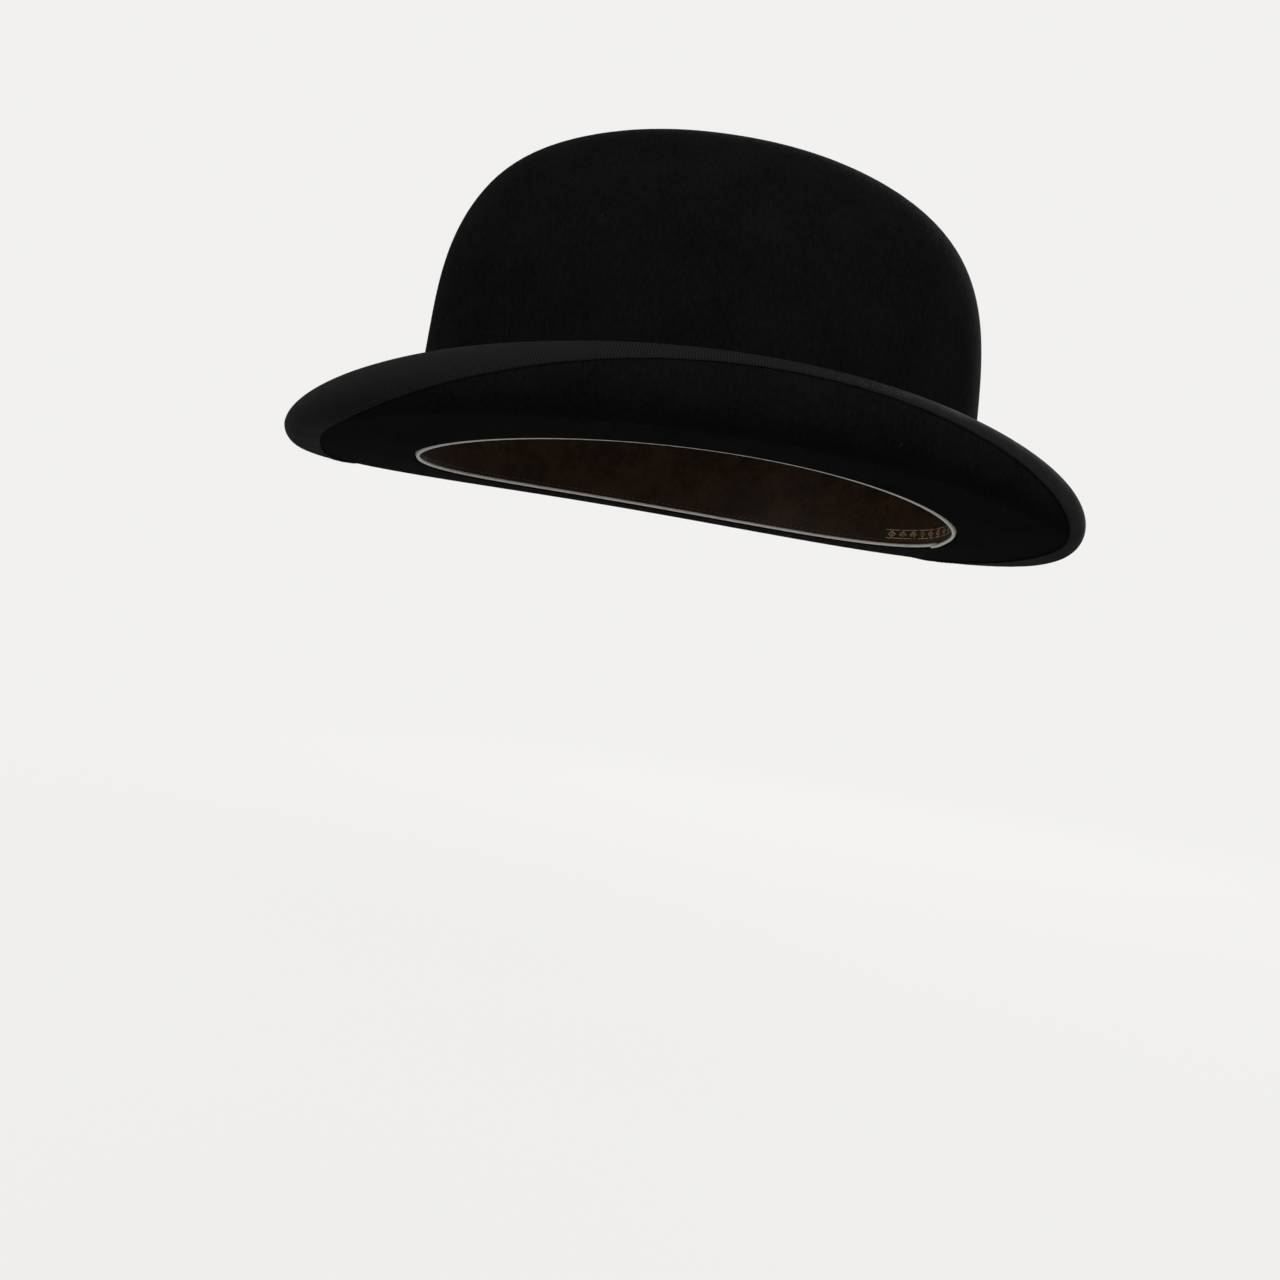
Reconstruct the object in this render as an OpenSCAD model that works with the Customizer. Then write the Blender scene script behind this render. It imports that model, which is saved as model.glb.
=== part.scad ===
// Bowler hat: a hard felt crown and rolled brim with ribbon trim, a leather sweatband and a satin lining.
// +X is the wearer's left, -Y the front and +Z up. The origin is the centre of the head opening,
// level with the underside of the brim at its front and back. All sizes are in millimetres.

/* [Head oval] */
// Half length of the crown outside, at its base
crown_half_l = 103; // [98:0.5:108]
// Width of the crown as a share of its length
crown_ratio = 0.825; // [0.8:0.005:0.85]
// How much the oval widens towards the back
egg = 0.015; // [0:0.005:0.03]
// How much higher the brim starts at the two sides
side_rise = 6.5; // [3:0.5:8]

/* [Crown] */
// Height of the crown above the head opening
crown_h = 126; // [118:1:134]
// Thickness of the felt
felt_t = 2; // [1.6:0.1:2.2]
// Flatness of the top: higher is flatter
top_power = 4.8; // [3.6:0.1:5.4]
// Fullness of the dome seen from the side
side_power = 2.7; // [2.3:0.1:3]
// Fullness of the dome seen from the front
front_power = 2.6; // [2.3:0.1:3]
// Radius between the crown and the brim
fillet_r = 3; // [2:0.5:4]

/* [Brim] */
// Width along the underside at the front
front_w = 46.5; // [42:0.5:52]
// Width along the underside at the back
back_w = 44.5; // [42:0.5:52]
// Width along the underside at the sides
side_w = 64; // [60:0.5:66]
// Slope of the flat part at the front, in degrees
front_slope = -2.5; // [-5:0.5:0]
// Slope of the flat part at the back, in degrees
back_slope = -0.5; // [-5:0.5:0]
// Slope of the flat part at the sides, in degrees
side_slope = 2.5; // [0:0.5:5]
// Outside radius of the curl at the front
front_r = 5; // [4:0.5:6]
// Outside radius of the curl at the back
back_r = 3; // [3:0.5:5]
// Outside radius of the curl at the sides
side_r = 12; // [10:0.5:13]
// How far the front edge curls, in degrees
front_curl = 100; // [80:5:120]
// How far the back edge curls, in degrees
back_curl = 125; // [80:5:130]
// How far the side edges roll over, in degrees
side_curl = 200; // [170:5:200]

/* [Ribbon] */
// Width of the edge binding on each face of the brim
binding_w = 15.5; // [10:0.5:16]
// Thickness of the binding ribbon
binding_t = 0.5; // [0.4:0.05:0.6]
// Height of the hat band
band_h = 22; // [16:1:26]
// Thickness of the hat band
band_t = 0.7; // [0.5:0.1:0.8]
// Half length of the bow's loops
bow_half_l = 29; // [24:1:34]
// Depth of the bow at the fullest part of its loops
bow_depth = 4.2; // [3:0.2:5]
// Width of the ribbon wrapped round the middle of the bow
knot_w = 11; // [8:1:14]

/* [Inside] */
// Height of the leather sweatband
sweat_h = 58; // [48:1:64]
// Thickness of the leather
sweat_t = 0.9; // [0.7:0.1:1]
// Diameter of the reed in its white tape
reed_d = 1.2; // [1.1:0.1:1.7]
// Height of the seam between the lining's side and its tip
lining_seam_z = 100; // [92:1:104]
// Thickness of the satin
satin_t = 0.3; // [0.2:0.05:0.4]

/* [Hidden] */

crown_half_w = crown_half_l * crown_ratio;
stations = 64;                  // places round the oval where a section is worked out
crown_rings = 13;               // rings from the base of the crown to its top
bare_steps = 8;                 // steps across the brim from the crown to the binding
bound_steps = 8;                // steps from there to the edge
rad = 180 / PI;
blend_soft = 0.03;              // rounds the change of brim shape at the very front and back
skin_gap = 0.05;                // between a ribbon and the felt under it
wrap_r = felt_t / 2 + skin_gap + binding_t;     // outside radius of the binding round the edge

// Inside layers: each depth is measured inwards from the outside of the crown.
flange_in = felt_t + 0.08;
flange_t = 0.25;
flange_h = 8;
leather_in = felt_t + 0.6;
leather_lean = 0.8;             // how far the leather's top edge stands further in
lining_in = felt_t + 0.15;
lining_lean = 1.8;              // how far the satin stands off the dome at its seam
lining_low = 14;                // the satin's lower edge, tucked behind the leather
reed_in = felt_t + 1;           // middle of the reed
reed_z = 0.95;
reed_sides = 6;
tape_t = 0.25;
leather_z = reed_z + reed_d / 2 + 0.15;
seam_half_gap = 0.15;           // half of the gap between the leather's ends, in degrees
back = 90;                      // the back of the hat, as an angle round the oval
reed_join = 88;                 // where the two ends of the reed meet
reed_half_gap = 0.4;            // half of the gap between the reed's ends, in degrees
thread_r = 0.18;
thread_clear = 0.03;
stitch_in = 1.2;                // from the ribbon's edge to its row of stitches
stitch_up = 1.1;                // from the leather's lower edge to its row of stitches

// Layers of the bow: each lift is measured outwards from the crown.
band_lift = 0.1;
knot_back = band_lift + band_t + 0.2;
knot_t = 0.4;
tails_lift = knot_back + knot_t + 0.1;
tails_t = 0.5;
loops_lift = tails_lift + tails_t + 0.1;
loops_t = 0.5;
waist = 2;                      // depth of the loops where the knot holds them
tails_past = 5;                 // how far the tails reach past the loops
tails_slant = 4;                // how far the cut ends of the tails slope
band_z = felt_t + fillet_r + 0.3;
bow_steps = 40;

function mix(a, b, k) = a + (b - a) * k;
function turn(i) = i * 360 / stations;

// A closed skin over closed sections, which go up their inside and down their outside. Each joins
// the next one, and the last joins the first if ring is true; otherwise both ends are capped.
module loft(sections, ring = true) {
    n = len(sections);
    m = len(sections[0]);
    sides = [for (i = [0 : n - (ring ? 1 : 2)], j = [0 : m - 1])
        let (a = i * m, b = (i + 1) % n * m, k = (j + 1) % m)
        [a + j, b + j, b + k, a + k]];
    caps = ring ? [] : [
        [for (j = [0 : m - 1]) j],
        [for (j = [m - 1 : -1 : 0]) (n - 1) * m + j]
    ];
    polyhedron(points = [for (s = sections) each s], faces = concat(sides, caps), convexity = 10);
}

// A closed skin over a hollow dome. Each section is a row of points that starts near the top of its
// inside, goes down and out round its rim, and ends near the top of its outside.
module dome(inside_top, sections, outside_top) {
    n = len(sections);
    m = len(sections[0]);
    sides = [for (i = [0 : n - 1], j = [0 : m - 2])
        let (a = i * m, b = (i + 1) % n * m)
        [a + j, a + j + 1, b + j + 1, b + j]];
    ends = [for (i = [0 : n - 1]) each [
        [n * m, i * m, (i + 1) % n * m],
        [n * m + 1, (i + 1) % n * m + m - 1, i * m + m - 1]
    ]];
    points = concat([for (s = sections) each s], [inside_top, outside_top]);
    polyhedron(points = points, faces = concat(sides, ends), convexity = 10);
}

// ---- the head oval ----

function oval(t) = [crown_half_w * cos(t) * (1 + egg * sin(t)), crown_half_l * sin(t)];

function outward(t) =
    let (dx = crown_half_w * (egg * cos(2 * t) - sin(t)), dy = crown_half_l * cos(t))
    [dy, -dx] / norm([dx, dy]);

function rise(t) = side_rise * pow(cos(t), 2);

// A point n outside the base of the crown and z above the brim line.
function beside(t, n, z) = let (p = oval(t) + n * outward(t)) [p[0], p[1], rise(t) + z];

// ---- the crown ----

// A point at height z on the dome, or on a smaller dome that stands depth inside it.
function crown_point(t, z, depth) =
    let (k = max(0, 1 - pow(z / (crown_h - depth), top_power)))
    [(crown_half_w - depth) * pow(k, 1 / front_power) * cos(t) * (1 + egg * sin(t)),
     (crown_half_l - depth) * pow(k, 1 / side_power) * sin(t), z];

// Heights from low up to the top of a dome, closer together near the top.
function crown_heights(low, depth) =
    [for (i = [0 : crown_rings - 1]) mix(low, crown_h - depth, sin(90 * i / crown_rings))];

function reversed(list) = [for (i = [len(list) - 1 : -1 : 0]) list[i]];

// ---- the brim ----

// 0 at the front and back of the hat and 1 at its sides.
function side_share(t) =
    (sqrt(pow(cos(t), 2) + blend_soft) - sqrt(blend_soft)) / (sqrt(1 + blend_soft) - sqrt(blend_soft));

function blend(t, front, rear, side) = mix(sin(t) < 0 ? front : rear, side, side_share(t));
function brim_w(t) = blend(t, front_w, back_w, side_w);
function slope(t) = blend(t, front_slope, back_slope, side_slope);
function curl(t) = blend(t, front_curl, back_curl, side_curl);
function curl_r(t) = blend(t, front_r, back_r, side_r);
function flat_w(t) = brim_w(t) - curl_r(t) * curl(t) / rad;
function edge_s(t) = brim_w(t) - wrap_r;

// A point of the brim: s along its underside from the crown, and h above the underside.
function brim_point(t, s, h) =
    let (a = slope(t), r = curl_r(t), flat = min(s, flat_w(t)),
         b = a + max(0, s - flat_w(t)) / r * rad)
    beside(t, flat * cos(a) + r * (sin(b) - sin(a)) - h * sin(b),
        flat * sin(a) - r * (cos(b) - cos(a)) + h * cos(b));

// Places along the underside, from the crown to the binding and from there to the edge. The felt
// and the binding share the second list, so that their skins stay the same distance apart.
function bare_places(t) =
    [for (i = [0 : bare_steps - 1]) mix(0, brim_w(t) - binding_w, i / bare_steps)];

function bound_places(t) =
    [for (i = [0 : bound_steps]) mix(brim_w(t) - binding_w, edge_s(t), i / bound_steps)];

function brim_places(t) = concat(bare_places(t), bound_places(t));

// Half a turn round the edge of the brim, from the underside to the top.
function edge_arc(t, r, step) = [for (a = [-90 + step : step : 90 - step])
    brim_point(t, edge_s(t) + r * cos(a), felt_t / 2 + r * sin(a))];

// ---- the felt ----

function felt_section(t) = concat(
    reversed([for (z = crown_heights(rise(t) + felt_t, felt_t)) crown_point(t, z, felt_t)]),
    [for (a = [210 : 30 : 240]) beside(t, felt_t * cos(a), felt_t + felt_t * sin(a))],
    [for (s = brim_places(t)) brim_point(t, s, 0)],
    edge_arc(t, felt_t / 2, 45),
    [for (s = reversed(brim_places(t))) if (s > 0) brim_point(t, s, felt_t)],
    [for (a = [255 : -25 : 205]) beside(t, fillet_r * (1 + cos(a)), felt_t + fillet_r * (1 + sin(a)))],
    [for (z = crown_heights(rise(t) + felt_t + fillet_r, 0)) crown_point(t, z, 0)]);

module felt_body() {
    color([0.06, 0.06, 0.06])
        dome([0, 0, crown_h - felt_t], [for (i = [0 : stations - 1]) felt_section(turn(i))],
            [0, 0, crown_h]);
}

// ---- the ribbon trim ----

function binding_section(t) = concat(
    [for (s = bound_places(t)) brim_point(t, s, felt_t + skin_gap + binding_t)],
    reversed(edge_arc(t, wrap_r, 45)),
    [for (s = reversed(bound_places(t))) brim_point(t, s, -skin_gap - binding_t)],
    [for (s = bound_places(t)) brim_point(t, s, -skin_gap)],
    edge_arc(t, wrap_r - binding_t, 45),
    [for (s = reversed(bound_places(t))) brim_point(t, s, felt_t + skin_gap)]);

module brim_binding() {
    color([0.12, 0.12, 0.12]) loft([for (i = [0 : stations - 1]) binding_section(turn(i))]);
}

// One row of stitches, lying on the binding at lift h above the brim's underside.
module thread_on_brim(h) {
    loft([for (i = [0 : stations - 1]) let (t = turn(i), s = brim_w(t) - binding_w + stitch_in)
        [for (a = [270 : -90 : 0]) brim_point(t, s + thread_r * cos(a), h + thread_r * sin(a))]]);
}

module binding_thread() {
    lift = skin_gap + binding_t + thread_r + thread_clear;
    color([0.1, 0.1, 0.1]) {
        thread_on_brim(-lift);
        thread_on_brim(felt_t + lift);
    }
}

module hat_band() {
    color([0.08, 0.08, 0.08]) loft([for (i = [0 : stations - 1])
        let (t = turn(i), low = rise(t) + band_z, heights = [low, low + band_h / 2, low + band_h])
        concat([for (z = heights) crown_point(t, z, -band_lift)],
            [for (z = reversed(heights)) crown_point(t, z, -band_lift - band_t)])]);
}

// A point on the wearer's left of the crown, seen from above: along it to the back, and lifted off it.
function on_left(along, lift) =
    let (t = along / crown_half_l * rad)
    oval(t) + lift * outward(t);

// Depth of the bow's loops at a place along it: full in the middle of each loop, closed at its end.
function loop_depth(along) =
    let (k = abs(along) / bow_half_l)
    mix(waist, bow_depth, pow(sin(180 * k), 2)) * sqrt(1 - pow(k, 8));

// The loops seen from above, or the hollow inside them where inset is the ribbon's thickness.
module loop_outline(inset) {
    half_l = bow_half_l - inset;
    back_lift = loops_lift + inset;
    places = [for (i = [0 : bow_steps]) half_l * -cos(180 * i / bow_steps)];
    polygon(concat(
        [for (y = places) on_left(y, max(back_lift + thread_clear, loops_lift + loop_depth(y) - inset))],
        [for (y = reversed(places)) on_left(y, back_lift)]));
}

module on_band() {
    translate([0, 0, side_rise + band_z]) children();
}

module bow_loops() {
    color([0.09, 0.09, 0.09]) on_band() linear_extrude(band_h) difference() {
        loop_outline(0);
        loop_outline(loops_t);
    }
}

// The tails are one flat ribbon behind the loops, with both ends cut on a slant.
module bow_tails() {
    far = bow_half_l + tails_past;
    color([0.08, 0.08, 0.08]) on_band() loft([for (i = [0 : bow_steps])
        let (y = mix(-far, far, i / bow_steps), low = mix(-far + tails_slant, far - tails_slant, i / bow_steps),
             p = on_left(low, tails_lift), q = on_left(low, tails_lift + tails_t),
             r = on_left(y, tails_lift + tails_t), s = on_left(y, tails_lift))
        [[p[0], p[1], 0.3], [s[0], s[1], band_h - 0.3], [r[0], r[1], band_h - 0.3], [q[0], q[1], 0.3]]],
        ring = false);
}

module knot_outline(grow) {
    front = loops_lift + waist + 0.15;
    translate([crown_half_w + knot_back + knot_t - grow, -0.15 - grow])
        square([front - knot_back - knot_t + 2 * grow, band_h + 0.3 + 2 * grow]);
}

module bow_knot() {
    color([0.08, 0.08, 0.08]) on_band()
        translate([0, knot_w / 2, 0]) rotate([90, 0, 0]) linear_extrude(knot_w) difference() {
            knot_outline(knot_t);
            knot_outline(0);
        }
}

// ---- the sweatband and its reed ----

// Angles once round the hat from one side of a join to the other.
function round_from(join, half_gap) =
    [for (i = [0 : stations]) join + mix(half_gap, 360 - half_gap, i / stations)];

function leather_depth(dz) = leather_in + leather_lean * (dz - leather_z) / sweat_h;
function leather_point(t, dz, depth) = crown_point(t, rise(t) + dz, leather_depth(dz) + depth);

module sweatband() {
    heights = [for (i = [0 : 3]) leather_z + sweat_h * i / 3];
    color([0.2, 0.12, 0.07]) loft([for (t = round_from(back, seam_half_gap))
        concat([for (z = heights) leather_point(t, z, sweat_t)],
            [for (z = reversed(heights)) leather_point(t, z, 0)])], ring = false);
}

module reed_core() {
    r = reed_d / 2 - tape_t - 0.1;
    color([0.85, 0.85, 0.8]) loft([for (t = round_from(reed_join, reed_half_gap))
        [for (i = [reed_sides : -1 : 1]) let (a = 360 * i / reed_sides)
            beside(t, r * cos(a) - reed_in, reed_z + r * sin(a))]], ring = false);
}

// The tape wraps the reed, and its free edge goes up behind the leather, where it is sewn.
module reed_cover() {
    r = reed_d / 2;
    arc = [for (i = [0 : 6]) -20 - 45 * i];
    color([0.93, 0.92, 0.88]) loft([for (t = round_from(reed_join, reed_half_gap)) concat(
        [beside(t, -flange_in, flange_h), beside(t, -flange_in, reed_z + 0.3)],
        [for (a = arc) beside(t, r * cos(a) - reed_in, reed_z + r * sin(a))],
        [for (a = reversed(arc)) beside(t, (r - tape_t) * cos(a) - reed_in, reed_z + (r - tape_t) * sin(a))],
        [beside(t, -flange_in - flange_t, reed_z + 0.3), beside(t, -flange_in - flange_t, flange_h)])],
        ring = false);
}

module sweatband_thread() {
    lift = thread_r + thread_clear;
    color([0.16, 0.1, 0.06]) loft([for (t = round_from(back, seam_half_gap))
        [for (a = [270 : -90 : 0]) leather_point(t, leather_z + stitch_up + thread_r * sin(a),
            sweat_t + lift - thread_r * cos(a))]], ring = false);
}

// Slanted stitches that draw the two ends of the leather together at the back.
module seam_thread() {
    pitch = 2.5;
    reach = 2.6;
    color([0.16, 0.1, 0.06]) for (z = [leather_z + 5 : pitch : leather_z + sweat_h - 2]) {
        p = leather_point(back, z, sweat_t + thread_r + 0.1);
        translate(p) rotate([0, 65, 0]) cylinder(r = thread_r, h = reach, center = true, $fn = 16);
    }
}

// ---- the lining ----

function lining_depth(z) = lining_in + lining_lean * pow(z / lining_seam_z, 4);

module lining_side() {
    steps = 5;
    color([0.85, 0.82, 0.74]) loft([for (i = [0 : stations - 1])
        let (t = turn(i), low = rise(t) + lining_low,
             heights = [for (j = [0 : steps]) mix(low, lining_seam_z, sin(90 * j / steps))])
        concat([for (z = heights) crown_point(t, z, lining_depth(z) + satin_t)],
            [for (z = reversed(heights)) crown_point(t, z, lining_depth(z))])]);
}

module lining_tip() {
    depth = lining_in + lining_lean;
    steps = 6;
    low = lining_seam_z + 0.4;
    color([0.87, 0.84, 0.76]) dome([0, 0, crown_h - depth - satin_t], [for (i = [0 : stations - 1])
        let (t = turn(i))
        concat([for (j = [steps - 1 : -1 : 0])
                crown_point(t, mix(low, crown_h - depth - satin_t, sin(90 * j / steps)), depth + satin_t)],
            [for (j = [0 : steps - 1])
                crown_point(t, mix(low, crown_h - depth, sin(90 * j / steps)), depth)])],
        [0, 0, crown_h - depth]);
}

felt_body();
brim_binding();
binding_thread();
hat_band();
bow_loops();
bow_tails();
bow_knot();
sweatband();
reed_core();
reed_cover();
sweatband_thread();
seam_thread();
lining_side();
lining_tip();
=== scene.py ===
"""Bowler hat: its looks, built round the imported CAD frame.

All lengths are in metres and all angles in radians. +X is the wearer's left, -Y the front, +Z up, and
the origin is the centre of the head opening. An angle t goes round the hat: 0 is the wearer's left,
-pi/2 the front and pi/2 the back.
"""

import bmesh
import bpy
import numpy as np
from mathutils import Matrix, Vector


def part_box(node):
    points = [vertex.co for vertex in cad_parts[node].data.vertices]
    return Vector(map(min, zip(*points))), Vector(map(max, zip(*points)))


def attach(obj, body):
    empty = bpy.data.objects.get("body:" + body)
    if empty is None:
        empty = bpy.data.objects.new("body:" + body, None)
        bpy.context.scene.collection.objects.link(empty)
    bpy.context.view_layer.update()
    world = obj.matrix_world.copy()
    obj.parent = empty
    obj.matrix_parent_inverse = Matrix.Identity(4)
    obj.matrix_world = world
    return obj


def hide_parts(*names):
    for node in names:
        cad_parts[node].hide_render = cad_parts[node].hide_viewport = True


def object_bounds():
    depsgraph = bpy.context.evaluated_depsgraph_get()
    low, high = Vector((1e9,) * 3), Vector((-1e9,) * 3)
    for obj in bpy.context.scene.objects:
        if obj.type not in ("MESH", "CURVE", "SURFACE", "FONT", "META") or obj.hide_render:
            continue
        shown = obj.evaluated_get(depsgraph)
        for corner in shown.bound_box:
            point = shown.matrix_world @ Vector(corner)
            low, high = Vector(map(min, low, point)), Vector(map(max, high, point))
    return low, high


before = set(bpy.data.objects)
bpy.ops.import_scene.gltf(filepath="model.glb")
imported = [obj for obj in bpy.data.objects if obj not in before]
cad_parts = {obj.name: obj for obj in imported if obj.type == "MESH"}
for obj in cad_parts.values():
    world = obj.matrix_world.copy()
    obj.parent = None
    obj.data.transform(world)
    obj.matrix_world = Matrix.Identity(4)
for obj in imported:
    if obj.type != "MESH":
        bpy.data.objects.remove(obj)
cad_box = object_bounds()

MM = 0.001
TURN = 2 * np.pi
BACK = np.pi / 2

# ---- the sizes of the CAD model that its boxes don't give ----

EGG = 0.015                     # how much the head oval widens towards the back
SIDE_RISE = 6.5 * MM            # how much higher the brim starts at the two sides
FELT_T = 2 * MM
FILLET_R = 3 * MM               # between the crown and the brim
TOP_POWER = 4.8                 # shape of the dome's profile
SIDE_POWER = 2.7
FRONT_POWER = 2.6
BRIM_W = (46.5 * MM, 44.5 * MM, 64 * MM)          # along the underside: front, back, sides
BRIM_SLOPE = np.radians((-2.5, -0.5, 2.5))
BRIM_CURL = np.radians((100, 125, 200))           # how far the edge curls over
CURL_R = (5 * MM, 3 * MM, 12 * MM)                # outside radius of that curl
BLEND_SOFT = 0.03
BINDING_W = 15.5 * MM
BINDING_T = 0.5 * MM
SKIN_GAP = 0.05 * MM            # between a ribbon and the felt under it
STITCH_IN = 1.2 * MM            # from the binding's edge to its stitches
BAND_T = 0.7 * MM
BAND_LIFT = 0.1 * MM
BOW_T = 0.5 * MM
WAIST = 2 * MM                  # depth of the bow's loops where the knot holds them
SWEAT_H = 58 * MM
SWEAT_T = 0.9 * MM
SWEAT_STITCH_UP = 1.1 * MM      # from the leather's lower edge to its row of stitches
REED_Z = 0.95 * MM
REED_R = 0.6 * MM
REED_JOIN = np.radians(88)      # where the reed's first end is
REED_OVERLAP = np.radians(2.5)  # how far its second end runs on past the first
REED_BEND = np.radians(9)       # the stretch in which the second end moves out of the first's way
REED_DROP = 0.85 * MM           # how far it moves down
REED_STEP_IN = 0.6 * MM         # and inwards
TAPE_T = 0.25 * MM
SATIN_T = 0.3 * MM
LINING_SEAM_Z = 100 * MM
GATHER_Z = 62 * MM              # the satin is smooth below it

# ---- the sizes that its boxes give ----

CROWN_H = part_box("felt_body")[1].z
band_low, band_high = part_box("hat_band")
BAND_Z = band_low.z                               # above the brim line
BAND_H = band_high.z - band_low.z - SIDE_RISE
HALF_L = band_high.y - BAND_LIFT - BAND_T         # of the crown outside, at its base
HALF_W = band_high.x - BAND_LIFT - BAND_T
bow_low, bow_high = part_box("bow_loops")
BOW_HALF = bow_high.y
BOW_Z = bow_low.z
BOW_H = bow_high.z - bow_low.z
TAILS_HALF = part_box("bow_tails")[1].y
KNOT_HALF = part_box("bow_knot")[1].y
KNOT_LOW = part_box("bow_knot")[0]
KNOT_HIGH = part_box("bow_knot")[1]

WRAP_R = FELT_T / 2 + SKIN_GAP + BINDING_T        # outside radius of the binding round the edge
LEATHER_Z = REED_Z + REED_R + 0.15 * MM
LEATHER_IN = FELT_T + 0.6 * MM
LEATHER_LEAN = 0.8 * MM
REED_IN = FELT_T + 1 * MM
LINING_IN = FELT_T + 0.15 * MM
LINING_LEAN = 1.8 * MM
LINING_LOW = 14 * MM
TAILS_LIFT = BAND_LIFT + BAND_T + 0.7 * MM
LOOPS_LIFT = TAILS_LIFT + BOW_T + 0.1 * MM
BOW_DEPTH = 4.2 * MM
SEAM_HALF_GAP = np.radians(0.15)                  # half of the gap between the leather's ends
SWEAT_STATIONS = 480                              # places round the hat where the leather has points
STEP_T = 0.001                                    # a small angle, to find the way along a row of stitches


# ---- the hat's surfaces, as in the CAD model ----

def mix(a, b, k):
    return a + (b - a) * k


def unit(v):
    return v / np.maximum(np.linalg.norm(v, axis=-1, keepdims=True), 1e-12)


def stack(x, y, z):
    return np.stack(np.broadcast_arrays(x, y, z), -1)


def oval(t):
    """The outside of the crown at its base: x and y."""
    return HALF_W * np.cos(t) * (1 + EGG * np.sin(t)), HALF_L * np.sin(t)


def outward(t):
    dx = HALF_W * (EGG * np.cos(2 * t) - np.sin(t))
    dy = HALF_L * np.cos(t)
    size = np.hypot(dx, dy)
    return dy / size, -dx / size


def rise(t):
    return SIDE_RISE * np.cos(t) ** 2


def beside(t, n, z):
    """A point n outside the base of the crown and z above the brim line."""
    x, y = oval(t)
    nx, ny = outward(t)
    return stack(x + n * nx, y + n * ny, rise(t) + z)


def crown_point(t, z, depth):
    """A point at height z on the dome, or on a smaller dome that stands depth inside it."""
    k = np.maximum(0, 1 - (z / (CROWN_H - depth)) ** TOP_POWER)
    return stack((HALF_W - depth) * k ** (1 / FRONT_POWER) * np.cos(t) * (1 + EGG * np.sin(t)),
                 (HALF_L - depth) * k ** (1 / SIDE_POWER) * np.sin(t), z)


def blend(t, values):
    """Mixes a value at the front, the back and the sides round the hat."""
    front, rear, side = values
    soft = np.sqrt(BLEND_SOFT)
    share = (np.sqrt(np.cos(t) ** 2 + BLEND_SOFT) - soft) / (np.sqrt(1 + BLEND_SOFT) - soft)
    return mix(np.where(np.sin(t) < 0, front, rear), side, share)


def brim_point(t, s, h):
    """A point of the brim: s along its underside from the crown, and h above the underside."""
    a, r = blend(t, BRIM_SLOPE), blend(t, CURL_R)
    flat_w = blend(t, BRIM_W) - r * blend(t, BRIM_CURL)
    flat = np.minimum(s, flat_w)
    b = a + np.maximum(0, s - flat_w) / r
    return beside(t, flat * np.cos(a) + r * (np.sin(b) - np.sin(a)) - h * np.sin(b),
                  flat * np.sin(a) - r * (np.cos(b) - np.cos(a)) + h * np.cos(b))


def leather_point(t, dz, depth):
    """A point of the sweatband, dz above the brim line and depth inside the leather's outer face."""
    lean = LEATHER_IN + LEATHER_LEAN * (dz - LEATHER_Z) / SWEAT_H
    return crown_point(t, rise(t) + dz, lean + depth)


def on_left(along, lift, z):
    """A point over the wearer's left of the crown: along it to the back, and lifted off it."""
    t = along / HALF_L
    x, y = oval(t)
    nx, ny = outward(t)
    return stack(x + lift * nx, y + lift * ny, z)


def angles(count, start=0.0):
    """Evenly spaced angles once round the hat, as a column."""
    return start + TURN * np.arange(count)[:, None] / count


def round_from(join, half_gap, count):
    """Angles once round the hat from one side of a join to the other, as a column."""
    return join + np.linspace(half_gap, TURN - half_gap, count)[:, None]


def across(steps, edge=0.0):
    """Places from 0 to 1. Some more lie within edge of both ends, where edge isn't 0."""
    places = np.linspace(0, 1, steps)
    if edge:
        close = edge * np.array([0.15, 0.35, 0.6, 0.85])
        places = np.unique(np.concatenate([places, close, 1 - close]))
    return places


# ---- meshes from rows of points ----

def lengths(points, closed):
    """How far each point of a line lies along it, from 0, with the way back to the first if closed."""
    line = np.concatenate([points, points[:1]]) if closed else points
    steps = np.linalg.norm(np.diff(line, axis=0), axis=1)
    return np.concatenate([[0], np.cumsum(steps)])


def finish_mesh(name, points, faces, corners=None, sharp=50):
    """A smooth mesh object with its normals outwards. corners holds x and y of the cloth at each corner
    of the first faces, in metres along and across the piece."""
    mesh = bpy.data.meshes.new(name)
    mesh.from_pydata(points.reshape(-1, 3).tolist(), [], faces)
    if corners is not None:
        layer = mesh.uv_layers.new(name="cloth")
        data = np.zeros((len(mesh.loops), 2), np.float32)
        data[:corners.size // 2] = corners.reshape(-1, 2)
        layer.data.foreach_set("uv", data.ravel())
    shape = bmesh.new()
    shape.from_mesh(mesh)
    bmesh.ops.recalc_face_normals(shape, faces=shape.faces)
    shape.to_mesh(mesh)
    shape.free()
    mesh.shade_smooth()
    mesh.set_sharp_from_angle(angle=np.radians(sharp))
    piece = bpy.data.objects.new(name, mesh)
    bpy.context.scene.collection.objects.link(piece)
    return piece


def loft(name, rows, over, ring):
    """A closed skin over closed sections: rows[i, j] is place j round section i, and over[j] is how far
    across the cloth it lies. The last section joins the first if ring is true, and otherwise both ends
    are capped."""
    n, m = rows.shape[:2]
    i, j = np.meshgrid(np.arange(n if ring else n - 1), np.arange(m), indexing="ij")
    i2, j2 = (i + 1) % n, (j + 1) % m
    faces = np.stack([i * m + j, i2 * m + j, i2 * m + j2, i * m + j2], -1).reshape(-1, 4).tolist()
    along = lengths(rows[:, 0], ring)
    u = np.stack([along[i], along[i + 1], along[i + 1], along[i]], -1)
    v = np.stack([over[j], over[j], over[j + 1], over[j + 1]], -1)
    if not ring:
        faces += [list(range(m)), list(range(n * m - 1, (n - 1) * m - 1, -1))]
    return finish_mesh(name, rows, faces, np.stack([u, v], -1))


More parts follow.
